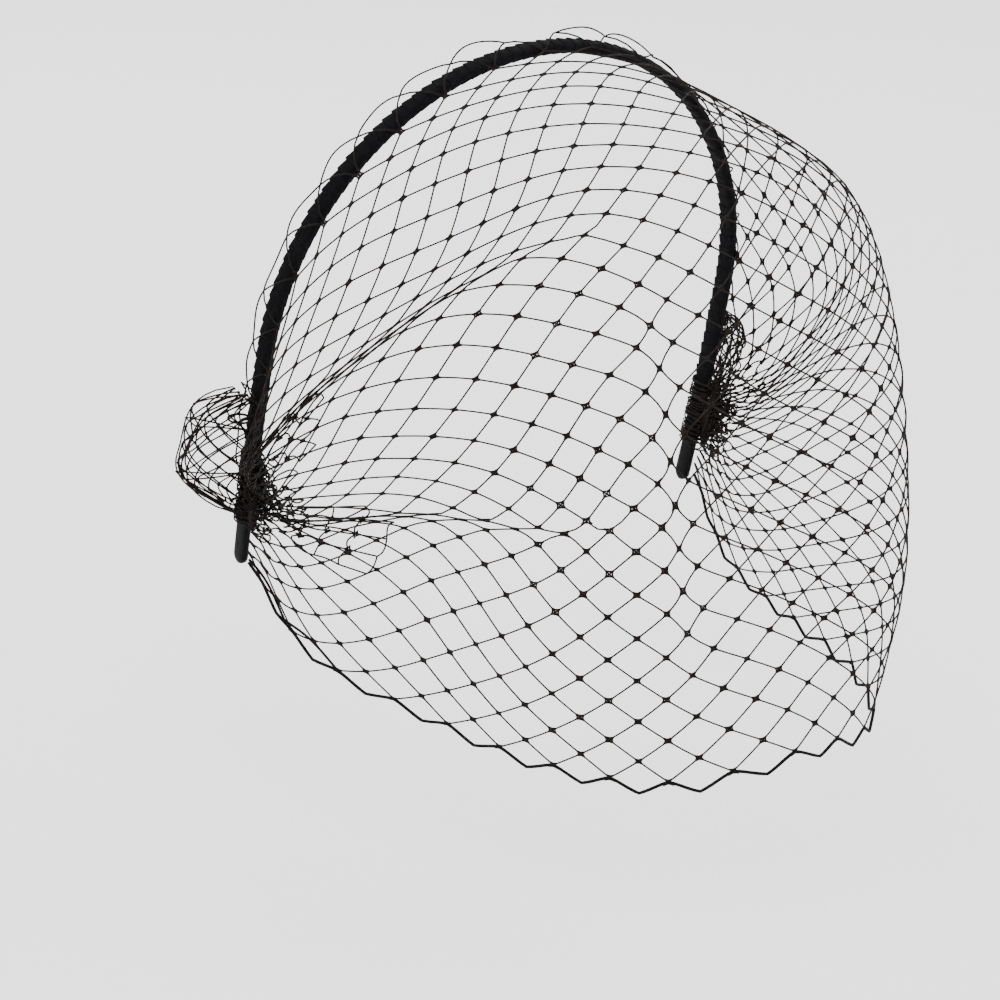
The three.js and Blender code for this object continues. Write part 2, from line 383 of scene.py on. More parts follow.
@dataclass(frozen=True)
class Crease:
    """An upright line along which the columns of the net draw together.

    Its pull, a share of their way to it, sets in over rows_in rows and fades over rows_out.
    """

    column: float
    top: float
    bottom: float
    pull: float
    rows_in: float = 4
    rows_out: float = 5

    def draw(self, row: float, column: float) -> float:
        """Moves a place towards the line.

        Args:
            row: row of the place.
            column: column of the place.

        Returns:
            The columns that it moves to the left.
        """
        away = column - self.column
        held = smooth((row - self.top) / self.rows_in) * smooth((self.bottom - row) / self.rows_out)
        return -self.pull * held * away * math.exp(0.5 - away * away / 2)


CREASES = (Crease(column=-1, top=-4, bottom=16, pull=0.32),)


@dataclass(frozen=True)
class Overlap:
    """A part of the net that lies folded under the rest beside the wearer's right gather.

    It is turned about its middle, lies depth under the net, and its meshes are tall and wide as
    shares of the net's there.
    """

    row: float
    column: float
    rows: int
    columns: int
    tall: float
    wide: float
    turn: float
    depth: float

    def holds(self, row: float, column: float) -> bool:
        """Tells whether a place, counted from the part's middle, lies in its round outline."""
        return math.hypot(row / (self.rows + 1), column / (self.columns + 1)) < 0.5

    def place(self, lattice: "Lattice", row: float, column: float) -> Vector:
        """Finds a point of the folded part.

        Args:
            lattice: the net.
            row: row counted from the part's middle.
            column: column counted from the part's middle.

        Returns:
            The point.
        """
        c, s = math.cos(self.turn), math.sin(self.turn)
        down = self.row + (row * c + column * s) * self.tall
        across = self.column + (column * c - row * s) * self.wide
        slip = lattice.slip(down, across)
        shares = lattice.shares(down + slip[0], across + slip[1])
        return lattice.surface(*shares) - lattice.normal(*shares) * self.depth


OVERLAPS = (
    Overlap(row=-7.0, column=-13.0, rows=7, columns=5, tall=1.1, wide=0.65, turn=0.5, depth=1.2 * MM),
    Overlap(row=8.0, column=-14.8, rows=8, columns=6, tall=1.1, wide=0.75, turn=-0.45, depth=1.5 * MM),
    Overlap(row=1.5, column=-16.2, rows=10, columns=5, tall=1.2, wide=0.8, turn=0.3, depth=0.8 * MM),
)


@dataclass(frozen=True)
class Lattice:
    """The knots of the net and the surface that they lie on.

    The net reaches forward by reach and down by drop, and is drawn together over gather_spread
    about gather_at along the band. Its own top edge, the hem, passes over the band by hem_lift
    and goes back by hem_back and up by hem_stand for each row behind it.
    """

    arch: Arch
    reach: float
    drop: float
    gather_at: float
    gather_spread: float = 20 * MM
    gather_gap: float = 1.2 * MM
    edge_gap: float = 0.9 * MM
    edge_pull: float = 7 * MM
    edge_tuck: float = 2.8 * MM
    hem_back: float = 7 * MM
    hem_stray: float = 0.6 * MM
    hem_lift: float = 2.1 * MM
    hem_stand: float = 4 * MM
    first_row: int = -21
    last_row: int = 20
    middle: int = 3
    half: int = 22
    grid: list = field(default_factory=list)

    def __post_init__(self) -> None:
        """Works out the places of both sides from the table."""
        left, right = self._side(Side.LEFT), self._side(Side.RIGHT)
        for near, far in zip(right, left):
            self.grid.append(near[:0:-1] + far)

    def _side(self, side: Side) -> list[list[Vector]]:
        """Works out the places of one side.

        Args:
            side: the side.

        Returns:
            The places of each row, from the middle of the front to the gather.
        """
        arch, sign = self.arch, side.value
        edge = arch.width / 2 + self.edge_gap
        lift = arch.thickness / 4
        rows = [[arch.place(sign * t * self.gather_at, edge, lift) for t in TOP_RUN]]
        for row in VEIL_ROWS:
            rows.append([
                Vector((sign * spread * arch.half_width, -reach * self.reach, -drop * self.drop))
                for spread, reach, drop in row.places()
            ])
        for i, row in enumerate(rows):
            share = i / len(VEIL_ROWS)
            pull = share ** 5
            run = self.gather_at + self.gather_spread * (share - 0.5) + self.edge_pull * pull
            ahead = arch.width / 2 + self.gather_gap - self.edge_tuck * pull
            row.append(arch.place(sign * run, ahead, lift))
        return rows

    def surface(self, across: float, downward: float) -> Vector:
        """Finds a point of the smooth form under the net.

        Args:
            across: -1 at the wearer's right gather, 1 at the left one.
            downward: 0 at the band, 1 at the lower edge.

        Returns:
            The point.
        """
        column = (across + 1) * len(TOP_RUN)
        return spline([spline(row, column) for row in self.grid], downward * len(VEIL_ROWS))

    def slip(self, row: float, column: float) -> tuple[float, float]:
        """Reads how far the net has slipped from an even lie.

        Args:
            row: row of the place.
            column: column of the place.

        Returns:
            Rows down and columns to the left.
        """
        step = DRIFT_COLUMNS[1] - DRIFT_COLUMNS[0]
        at = (column - DRIFT_COLUMNS[0]) / step
        at = min(max(at, 0.0), len(DRIFT_COLUMNS) - 1.0)
        line = (row - DRIFTS[0].row) / (DRIFTS[1].row - DRIFTS[0].row)
        down = spline([spline(d.down, at) for d in DRIFTS], line)
        across = spline([spline(d.across, at) for d in DRIFTS], line)
        return down, across

    def shares(self, row: float, column: float) -> tuple[float, float]:
        """Turns a row and a column into shares of the surface.

        Args:
            row: row of the place.
            column: column of the place.

        Returns:
            The share across and the share downward.
        """
        across = (column - self.middle) / (self.half + 0.5)
        downward = (row - self.first_row) / (self.last_row - self.first_row)
        return across, downward

    def point(self, row: float, column: float) -> Vector:
        """Finds a point of the net as it hangs, with its slips, folds and slack.

        Args:
            row: row of the place.
            column: column of the place.

        Returns:
            The point.
        """
        if row < self.first_row:
            return self._over_band(row, column)
        lie, sink = self.pleated(row, column)
        down, across = self.slip(lie, column)
        for crease in CREASES:
            across += crease.draw(lie, column)
        a, d = self.shares(lie + down, column + across)
        spot = self.surface(a, d)
        if sink:
            spot -= self.normal(a, d) * sink
        return spot

    def pleated(self, row: float, column: float) -> tuple[float, float]:
        """Finds where a row of the net lies once the folds have taken up their rows.

        Args:
            row: row of the net.
            column: column of the net.

        Returns:
            The row of the even lie at which it lies, and how far it is under the net.
        """
        lines = [(pleat.depth, *pleat.line(column)) for pleat in PLEATS]
        room = self.last_row - self.first_row - sum(width for *_, width in lines)
        shown = self.last_row - self.first_row - sum(hidden for _, _, hidden, _ in lines)
        share = shown / room
        at = lie = float(self.first_row)
        for depth, line, hidden, width in lines:
            top = at + (line - width / 2 - lie) * share
            if row <= top:
                break
            if row < top + hidden:
                t = (row - top) / hidden
                return line + width * (t - 0.5), depth * math.sin(math.pi * t)
            at, lie = top + hidden, line + width / 2
        return lie + (row - at) / share, 0.0

    def normal(self, across: float, downward: float) -> Vector:
        """Outward direction of the net.

        Args:
            across: share across.
            downward: share downward.

        Returns:
            The unit vector.
        """
        step = 0.01
        a = min(max(across, step - 1), 1 - step)
        d = min(max(downward, step), 1 - step)
        row = self.surface(a + step, d) - self.surface(a - step, d)
        column = self.surface(a, d + step) - self.surface(a, d - step)
        return column.cross(row).normalized()

    def _over_band(self, row: float, column: float) -> Vector:
        """The net's own top edge, which passes over the band and stands up behind it.

        Args:
            row: row of the place, before the first.
            column: column of the place.

        Returns:
            The point.
        """
        _, across = self.slip(self.first_row, column)
        share, _ = self.shares(self.first_row, column + across)
        run = spline((*TOP_RUN, 1.0), abs(share) * len(TOP_RUN)) * self.gather_at
        rise = self.first_row - row
        back = (self.hem_back + self.hem_stray * math.sin(2.3 * column)) * rise
        lift = self.hem_lift * math.sin(min(rise, 1.0) * math.pi * 0.72)
        lift += self.hem_stand * max(rise - 1.0, 0.0)
        return self.arch.place(
            math.copysign(run, share),
            self.arch.width / 2 + self.edge_gap - back,
            self.arch.thickness / 4 + lift,
        )

    def knots(self) -> list[tuple[int, int]]:
        """Lists the knots.

        Returns:
            Their rows and columns.
        """
        columns = range(self.middle - self.half, self.middle + self.half + 1)
        rows = range(self.first_row - 1, self.last_row + 1)
        return [(k, m) for k in rows for m in columns if (k + m) % 2 == 0]


# Pieces

LOOP_FADE = {Side.RIGHT: 0.7, Side.LEFT: 0.2}  # how far the loops sink away from the crown
RIBBON_EDGE = (  # place along a turn of the ribbon, and its edge's height there
    (0.0, 0.0), (0.05, 0.95), (0.12, 1.0), (0.4, 0.7), (0.7, 0.35), (0.96, 0.0),
)
AROUND = ((-1, -1), (-1, 1), (1, 1), (1, -1))  # rows and columns to the four knots about one


@dataclass
class Net:
    """The threads and knots of one half of the net.

    A thread that is shorter than taut by more than the share stretch bows aside. A knot's arms are
    knot long, of the thickness strand, about an eye that is a share of them.
    """

    lattice: Lattice
    side: Side
    thread: float = 0.46 * MM
    strand: float = 0.4 * MM
    knot: float = 1.7 * MM
    eye: tuple[float, float] = (0.2, 0.4)
    taut: float = 9.2 * MM
    stretch: float = 0.24
    bow: float = 0.36
    most_bow: float = 0.19
    follow: float = 0.6
    fold_spare: float = 0.3
    loop_rise: tuple[float, float] = (0.1, 0.36)
    loop_lean: float = 0.6
    segments: int = 4
    sides: int = 5

    def __post_init__(self) -> None:
        """Starts the mesh, the random draws and the list of known knots."""
        self.strands = StrandMesh(f"net_{self.side.name.lower()}", self.sides)
        self.rng = random.Random(self.side.value + 7)
        self.known: dict[tuple[int, int], Vector] = {}

    def holds(self, column: float) -> bool:
        """Tells whether a column belongs to this half."""
        return (column - self.lattice.middle) * self.side.value > 0

    def build(self) -> bpy.types.Object:
        """Makes the piece.

        Returns:
            The object.
        """
        for row, column in self.lattice.knots():
            for step in (-1, 1):
                if self.holds(column + step / 2):
                    self._thread((row, column), (row + 1, column + step))
            if self.holds(column + 0.5) and row >= self.lattice.first_row:
                self._knot(row, column)
        self._loops()
        for part in OVERLAPS if self.side is Side.RIGHT else ():
            self._folded(part)
        return self.strands.finish()

    def _place(self, row: int, column: int) -> Vector:
        """Finds a knot, and keeps it for all that meets there.

        Args:
            row: row of the knot.
            column: column of the knot.

        Returns:
            The knot's middle.
        """
        if (row, column) not in self.known:
            self.known[row, column] = self.lattice.point(row, column)
        return self.known[row, column]

    def _loops(self) -> None:
        """The net's free edge, a row of shallow loops that stand up behind the band."""
        lattice, sign = self.lattice, self.side.value
        top = lattice.first_row - 1
        fade = LOOP_FADE[self.side]
        steps = 10
        for i in range(0, lattice.half - 3, 2):
            column = lattice.middle + sign * (i + (top + lattice.middle) % 2)
            high = self.rng.uniform(*self.loop_rise) * (1.0 - fade * smooth((i - 2) / 7))
            lean = self.rng.uniform(-self.loop_lean, self.loop_lean)
            points = []
            for step in range(steps + 1):
                t = step / steps
                rise = high * math.sin(math.pi * t) ** 0.8
                points.append(lattice.point(top - rise, column + sign * (2 * t + lean * rise)))
            self.strands.tube(points, self.thread / 2)

    def _folded(self, part: Overlap) -> None:
        """The threads and knots of one folded part.

        Args:
            part: the part.
        """
        steps = 8
        for row in range(-part.rows // 2, part.rows // 2 + 1):
            for column in range(-part.columns // 2, part.columns // 2 + 1):
                if (row + column) % 2 or not part.holds(row, column):
                    continue
                start = part.place(self.lattice, row, column)
                arms = []
                for down, across in AROUND:
                    if not part.holds(row + down, column + across):
                        continue
                    end = part.place(self.lattice, row + down, column + across)
                    arms.append(end - start)
                    if down > 0:
                        way = [start.lerp(end, i / steps) for i in range(steps + 1)]
                        self._hang(way, self.fold_spare)
                if len(arms) == len(AROUND):
                    self._star(start, arms)

    def _thread(self, start: tuple[int, int], end: tuple[int, int]) -> None:
        """A thread from knot to knot, if both are in the net.

        Args:
            start: row and column of the upper knot.
            end: row and column of the lower knot.
        """
        lattice = self.lattice
        edge = lattice.middle + lattice.half * self.side.value
        if end[0] > lattice.last_row or (end[1] - edge) * self.side.value > 0:
            return
        a, b = self._place(*start), self._place(*end)
        points = []
        for i in range(self.segments + 1):
            t = i / self.segments
            spot = lattice.point(start[0] + t, start[1] + (end[1] - start[1]) * t)
            if start[0] >= lattice.first_row:
                spot = a.lerp(b, t).lerp(spot, 4 * t * (1 - t) * self.follow)
            points.append(spot)
        self._hang(points)

    def _hang(self, points: list[Vector], spare: float = 0.0) -> None:
        """A thread along some points, which bows aside where it is longer than its way.

        Args:
            points: the points, which are moved.
            spare: share of its length that it has to spare.
        """
        rng = self.rng
        way = points[-1] - points[0]
        slack = max(1 - way.length / self.taut - self.stretch + spare, 0.0)
        bow = self.taut * min(self.bow * slack ** 0.9, self.most_bow) * rng.uniform(0.6, 1.0)
        sideways = Vector((rng.uniform(-1, 1), rng.uniform(-1, 1), rng.uniform(-1.4, 0.2)))
        sideways = way.cross(sideways).normalized()
        last = len(points) - 1
        for i in range(1, last):
            points[i] = points[i] + sideways * (bow * math.sin(math.pi * i / last))
        self.strands.tube(points, self.thread / 2)

    def _knot(self, row: int, column: int) -> None:
        """The knot at a row and a column.

        Args:
            row: row of the knot.
            column: column of the knot.
        """
        lattice, middle = self.lattice, self._place(row, column)
        ways = []
        for down, across in AROUND:
            if lattice.first_row - 1 <= row + down <= lattice.last_row:
                ways.append(self._place(row + down, column + across) - middle)
            else:
                ways.append(middle - self._place(row - down, column + across))
        self._star(middle, ways)

    def _star(self, middle: Vector, ways: Sequence[Vector]) -> None:
        """A knot's four short strands, each from one thread to the next about a small eye.

        Args:
            middle: the knot's middle.
            ways: the ways from it to the four knots about it.
        """
        arms = [way.normalized() * min(self.knot, way.length * 0.3) for way in ways]
        size = self.strand / 2 * self.rng.uniform(0.9, 1.25)
        eye = self.rng.uniform(*self.eye)
        for arm, turn in zip(arms, arms[1:] + arms[:1]):
            beside = (arm.normalized() + turn.normalized()) * self.strand * 0.35
            near = (arm + turn) * (eye / 2) + beside
            points = [
                middle + arm,
                middle + arm * 0.5 + near * 0.35,
                middle + near,
                middle + turn * 0.5 + near * 0.35,
                middle + turn,
            ]
            self.strands.tube(points, size, (0.5, 1, 1.2, 1, 0.5))


@dataclass(frozen=True)
class Selvedge:
    """The corded zigzag along the net's lower edge, doubled where it starts."""

    lattice: Lattice
    diameter: float = 0.85 * MM
    point_depth: float = 0.6
    rounding: float = 0.3
    steps: int = 6
    double_columns: int = 5
    double_rise: float = 0.9

    def build(self) -> bpy.types.Object:
        """Makes the piece.

        Returns:
            The object.
        """
        strands = StrandMesh("selvedge", 8)
        lattice, last = self.lattice, self.lattice.last_row
        start = lattice.middle - lattice.half
        corners = []
        for column in range(start, lattice.middle + lattice.half + 1):
            low = (last + column) % 2
            corners.append(lattice.point(last + low * self.point_depth, column))
        count = self.steps * (len(corners) - 1)
        points = [self._rounded(corners, i / self.steps) for i in range(count)]
        strands.tube([*points, corners[-1]], self.diameter / 2)
        double, count = [], 24
        for i in range(count + 1):
            t = i / count
            rise = self.double_rise * abs(math.sin(TURN * t))
            double.append(lattice.point(last - rise, start + self.double_columns * t))
        strands.tube(double, self.diameter * 0.4)
        return strands.finish()

    def _rounded(self, corners: Sequence[Vector], at: float) -> Vector:
        """A zigzag with its corners turned on a short radius.

        Args:
            corners: the zigzag's corners.
            at: the place along it, 1 more at each corner.

        Returns:
            The point there.
        """
        i = math.floor(at)
        straight = corners[i].lerp(corners[i + 1], at - i)
        return straight.lerp(spline(corners, at), self.rounding)


@dataclass(frozen=True)
class Headband:
    """The band: a plastic core and the ribbon wound round it.

    The core shows over the length bare at each tip. The ribbon has a turn at each pitch, with a
    raised edge, and lies at a slant that is a share of the pitch.
    """

    arch: Arch
    core_width: float = 5 * MM
    core_thickness: float = 2.2 * MM
    bare: float = 12 * MM
    pitch: float = 3.3 * MM
    edge: float = 0.36 * MM
    slant: float = 0.9
    square_across: float = 0.55
    square_out: float = 0.75
    sides: int = 28
    core_steps: int = 120
    tip_steps: int = 6

    def _ring(
        self, run: float, width: float, thickness: float, bump: float | None = None
    ) -> list[Vector]:
        """Points of a section with rounded corners.

        Args:
            run: distance along the band.
            width: its size across.
            thickness: its size outward.
            bump: height of the ribbon's edge there, if the section is the ribbon's.

        Returns:
            The points, counter-clockwise about the run.
        """
        ring = []
        for i in range(self.sides):
            share = i / self.sides
            extra, shift = (0.0, 0.0) if bump is None else self._winding(share, bump)
            c, s = math.cos(TURN * share), -math.sin(TURN * share)
            ahead = math.copysign(abs(c) ** self.square_across, c) * (width / 2 + extra)
            out = math.copysign(abs(s) ** self.square_out, s) * (thickness / 2 + extra)
            ring.append(self.arch.place(run + shift, ahead, out))
        return ring

    def _winding(self, share: float, bump: float) -> tuple[float, float]:
        """How a turn of the ribbon lies at one place of the way round.

        Args:
            share: share of the way round.
            bump: height of the ribbon's edge there.

        Returns:
            The extra height, least on the front side, and the shift along the band.
        """
        slant = self.pitch * (0.5 - abs(share - 0.5)) * self.slant
        back = 0.65 - 0.35 * math.cos(TURN * share)
        return bump * back, slant - self.pitch * 0.2

    def core(self) -> bpy.types.Object:
        """Makes the plastic core, with its two rounded tips.

        Returns:
            The object.
        """
        nose = self.core_width / 2
        straight = self.arch.length - nose
        body = [(straight * (2 * i / self.core_steps - 1), 1.0) for i in range(self.core_steps + 1)]
        angles = [math.pi / 2 * i / self.tip_steps for i in range(1, self.tip_steps)]
        tip = [(straight + nose * math.sin(angle), math.cos(angle)) for angle in angles]
        runs = [(-run, share) for run, share in reversed(tip)] + body + tip
        bm = bmesh.new()
        skin(bm, [
            self._ring(run, self.core_width * share, self.core_thickness * (0.5 + share / 2))
            for run, share in runs
        ])
        return make_object("band_core", bm)

    def ribbon(self) -> bpy.types.Object:
        """Makes the ribbon winding.

        Returns:
            The object.
        """
        end = self.arch.length - self.bare
        turns = round(2 * end / self.pitch)
        rng = random.Random(3)
        uneven = [rng.uniform(-0.25, 0.25) for _ in range(turns)]
        width = self.arch.width - 2 * self.edge
        thickness = self.arch.thickness - 2 * self.edge
        bm = bmesh.new()
        skin(bm, [
            self._ring(
                end * (2 * (turn + at) / turns - 1), width, thickness,
                height * self.edge * (1 + uneven[turn]),
            )
            for turn in range(turns)
            for at, height in RIBBON_EDGE
        ])
        return make_object("ribbon_turns", bm)


@dataclass(frozen=True)
class Gather:
    """One end of the net, its folds packed together into a heart and stitched to the band.

    Curled threads stand out in front of the band, up to curl_ahead.
    """

    lattice: Lattice
    side: Side
    thread: float = 0.44 * MM
    stitch: float = 0.4 * MM
    curls: int = 110
    curl_size: tuple[float, float] = (1.2 * MM, 3.4 * MM)
    curl_ahead: float = 9.5 * MM
    curl_tuck: float = 0.5 * MM
    curl_out: tuple[float, float] = (-1.6 * MM, 1.8 * MM)
    stitches: int = 26
    stitch_stray: float = 0.4 * MM
    stitch_slant: float = 1.6 * MM
    stitch_gap: float = 0.3 * MM
    heart_width: float = 3.0 * MM
    heart_thickness: float = 3.4 * MM
    heart_ahead: float = 1.9 * MM
    heart_out: float = 0.8 * MM
    folds: int = 5
    fold_depth: float = 0.16

    def _place(self, run: float, ahead: float, out: float) -> Vector:
        """Finds a point beside the band on this side of it."""
        return self.lattice.arch.place(self.side.value * run, ahead, out)

    def threads(self) -> bpy.types.Object:
        """Makes the curled threads about the gather and the stitches round the band.

        Returns:
            The object.
        """
        rng = random.Random(20 + self.side.value)
        strands = StrandMesh(f"gather_stitches_{self.side.name.lower()}", 6)
        for _ in range(self.curls):
            self._curl(strands, rng)
        spread = self.lattice.gather_spread * 0.95
        for i in range(self.stitches):
            share = i / (self.stitches - 1) - 0.5
            self._stitch(strands, rng, self.lattice.gather_at + spread * share)
        return strands.finish()

    def _curl(self, strands: StrandMesh, rng: random.Random) -> None:
        """One curled thread in front of the band.

        Args:
            strands: the mesh that it goes into.
            rng: the random draws.
        """
        arch = self.lattice.arch
        middle, spread = self.lattice.gather_at, self.lattice.gather_spread
        run = middle + (rng.gauss(0, 0.24) - 0.06) * spread
        run = min(max(run, middle - 0.65 * spread), middle + 0.5 * spread)
        ahead = arch.width / 2 + self.curl_ahead * rng.random() ** 1.7 - self.curl_tuck
        out = arch.thickness / 4 + rng.uniform(*self.curl_out)
        size = rng.uniform(*self.curl_size)
        tilt = rng.uniform(0, math.pi)
        points, steps = [], 8
        for i in range(steps + 1):
            angle = TURN * i / steps * rng.uniform(0.8, 1.0)
            u, v = size * math.cos(angle), size * 0.55 * math.sin(angle)
            points.append(self._place(
                run + v, ahead + u * math.cos(tilt), out + u * math.sin(tilt) * 0.6
            ))
        strands.tube(points, self.thread / 2)

    def _stitch(self, strands: StrandMesh, rng: random.Random, place: float) -> None:
        """One stitch round the band.

        Args:
            strands: the mesh that it goes into.
            rng: the random draws.
            place: about where it lies along the band.
        """
        arch = self.lattice.arch
        run = place + rng.uniform(-self.stitch_stray, self.stitch_stray)
        slant = rng.uniform(-self.stitch_slant, self.stitch_slant)
        points, steps = [], 12
        for i in range(steps + 1):
            angle = TURN * i / steps
            reach = 1.25 + 0.1 * rng.random()
            points.append(self._place(
                run + slant * math.sin(angle / 2),
                math.cos(angle) * arch.width / 2 * reach + self.stitch_gap,
                math.sin(angle) * arch.thickness / 2 * (reach + 0.15),
            ))
        strands.tube(points, self.stitch / 2)

    def heart(self) -> bpy.types.Object:
        """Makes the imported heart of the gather, ribbed by its folds.

        Returns:
            The object.
        """
        arch, spread = self.lattice.arch, self.lattice.gather_spread
        rng = random.Random(5 + self.side.value)
        uneven = [rng.uniform(0.75, 1.15) for _ in range(16)]
        middle = arch.width / 2 + self.heart_ahead
        rings, sides, steps = [], 24, 24
        for i in range(steps + 1):
            t = i / steps
            run = self.lattice.gather_at + spread * (t - 0.5)
            swell = math.sqrt(math.sin(math.pi * min(max(t, 0.03), 0.97)))
            ring = []
            for s in range(sides):
                angle = -self.side.value * TURN * s / sides
                fold = math.cos(self.folds * angle + 9 * t) * uneven[(i + s) % len(uneven)]
                size = swell * (1 + self.fold_depth * fold)
                ring.append(self._place(
                    run,
                    middle + self.heart_width / 2 * math.cos(angle) * size,
                    self.heart_out + self.heart_thickness / 2 * math.sin(angle) * size,
                ))
            rings.append(ring)
        bm = bmesh.new()
        skin(bm, rings)
        return make_object(f"gather_bundle_{self.side.name.lower()}", bm)


@dataclass(frozen=True)
class Tail:
    """The loose end of the net past a gather, a fan of meshes folded back on itself.

    It lies in a plane that leans back from the band, its middle rise above the gather's. It is root
    long at the band and spread long at its fold, which is reach away. Its two layers lie up to fold
    to either side of the plane.
    """

    lattice: Lattice
    side: Side
    thread: float = 0.44 * MM
    rise: float = 11 * MM
    reach: float = 17.5 * MM
    root: float = 29 * MM
    spread: float = 33 * MM
    lean: float = math.radians(28)
    gap: float = 0.4 * MM
    fold: float = 2.4 * MM
    wave: float = 1.5 * MM
    stray: float = 0.55 * MM
    knot: float = 0.2 * MM
    rows: int = 8
    columns: int = 6
    loop_rise: float = 20 * MM
    loop_reach: float = 6.2 * MM
    loop_height: float = 2.6 * MM

    def _spot(self, run: float, far: float, aside: float = 0.0) -> Vector:
        """Finds a point beside the leaning plane.

        Args:
            run: distance along the band from the crown.
            far: distance away from the middle of the band.
            aside: distance from the plane, towards the front.

        Returns:
            The point.
        """
        arch = self.lattice.arch
        ahead = (arch.thickness / 2 - far) * math.sin(self.lean) + aside
        return arch.place(self.side.value * run, ahead, far * math.cos(self.lean))

    def _place(self, row: float, column: float) -> Vector:
        """Finds a point of the fan.

        Args:
            row: row, from one root over the fold to the other root.
            column: column, downward along the band.

        Returns:
            The point.
        """
        out = math.sin(math.pi * row / self.rows)
        share = column / self.columns - 0.5
        length = self.root + (self.spread - self.root) * out
        bow = max(1 - abs(1.96 * share) ** 2.6, 0.01) ** 0.55
        far = self.lattice.arch.thickness / 2 + self.gap + self.reach * out * bow
        back = self.fold * math.copysign(out, row - self.rows / 2)
        wave = self.wave * out * math.sin(8 * share + 0.7 * row)
        return self._spot(self.lattice.gather_at - self.rise + length * share, far, back + wave)

    def build(self) -> bpy.types.Object:
        """Makes the piece.

        Returns:
            The object.
        """
        rng = random.Random(31 + self.side.value)
        strands = StrandMesh(f"net_tail_threads_{self.side.name.lower()}", 6)
        knots = {}
        for row in range(self.rows + 1):
            for column in range(self.columns + 1):
                stray = Vector([rng.uniform(-self.stray, self.stray) for _ in range(3)])
                knots[row, column] = self._place(row, column) + stray
        for start in range(self.columns + 1):
            for step in (-1, 1):
                self._diagonal(strands, knots, start, step)
        self._edges(strands)
        self._loop(strands)
        return strands.finish()

    def _diagonal(
        self, strands: StrandMesh, knots: dict[tuple[int, int], Vector], start: int, step: int
    ) -> None:
        """One thread from root to root, which turns back at the edges, and its knots.

        Args:
            strands: the mesh that they go into.
            knots: the knots by row and column.
            start: column of the root that it starts from.
            step: columns that it moves at each row.
        """
        track = []
        for row in range(self.rows + 1):
            column = (start + step * row) % (2 * self.columns)
            track.append(knots[row, min(column, 2 * self.columns - column)])
        fine = 6
        points = [spline(track, i / fine) for i in range(fine * (len(track) - 1) + 1)]
        strands.tube(points, self.thread / 2)
        for before, knot, after in zip(track, track[1:], track[2:]):
            way = (after - before).normalized() * self.thread
            strands.tube([knot - way, knot, knot + way], self.knot, (1, 2.25, 1))

    def _edges(self, strands: StrandMesh) -> None:
        """The threads that edge the fan: four from root to root, two along the fold.

        Args:
            strands: the mesh that they go into.
        """
        steps = 14
        for share in (0.04, 0.96, 0.3, 0.72):
            points = []
            for i in range(steps + 1):
                t = i / steps
                drift = 0.18 * math.sin(math.pi * t) * (0.5 - share)
                points.append(self._place(self.rows * t, self.columns * (share - drift)))
            strands.tube(points, self.thread / 2)
        steps = 24
        for share in (0.4, 0.56):
            row = self.rows * share
            edge = [self._place(row, self.columns * i / steps) for i in range(steps + 1)]
            strands.tube(edge, self.thread / 2)

    def _loop(self, strands: StrandMesh) -> None:
        """A small loop of thicker thread at the band.

        Args:
            strands: the mesh that it goes into.
        """
        points, steps = [], 17
        for i in range(steps):
            angle = TURN * i / steps
            run = self.lattice.gather_at - self.loop_rise + self.loop_height / 2 * math.sin(angle)
            far = self.lattice.arch.thickness / 2 + self.loop_reach / 2 * (1 - math.cos(angle))
            points.append(self._spot(run, far))
        strands.tube(points, self.thread * 0.7)


# Finishes


class Maths:
    """A shader value with arithmetic on it."""

    def __init__(self, shader: "Shader", socket: bpy.types.NodeSocket) -> None:
        """Wraps a socket.

        Args:
            shader: the material that it belongs to.
            socket: the output socket.
        """
        self.shader = shader
        self.socket = socket

    def _with(self, operation: str, other: "Maths | float" = 0.0) -> "Maths":
        """Adds a node of arithmetic.

        Args:
            operation: what the node does.
            other: its second value.

        Returns:
            The node's value.
        """
        node = self.shader.node("ShaderNodeMath", {0: self, 1: other}, operation=operation)
        return Maths(self.shader, node.outputs[0])

    def __add__(self, other: "Maths | float") -> "Maths":
        """The sum of two values."""
        return self._with("ADD", other)

    def __mul__(self, other: "Maths | float") -> "Maths":
        """The product of two values."""
        return self._with("MULTIPLY", other)

    __radd__ = __add__
    __rmul__ = __mul__

    def sine(self) -> "Maths":
        """The sine of the value."""
        return self._with("SINE")

    def absolute(self) -> "Maths":
        """The value without its sign."""
        return self._with("ABSOLUTE")


@dataclass(frozen=True)
class Finish:
    """How one material looks: its colours, gloss and the fine relief of its surface."""

    name: str
    dark: tuple[float, float, float]
    light: tuple[float, float, float]
    roughness: tuple[float, float]
    specular: float = 0.5
    mottle_scale: float = 300.0
    rib_around: float = 0.0
    rib_along: float = 0.0
    relief: float = 0.0


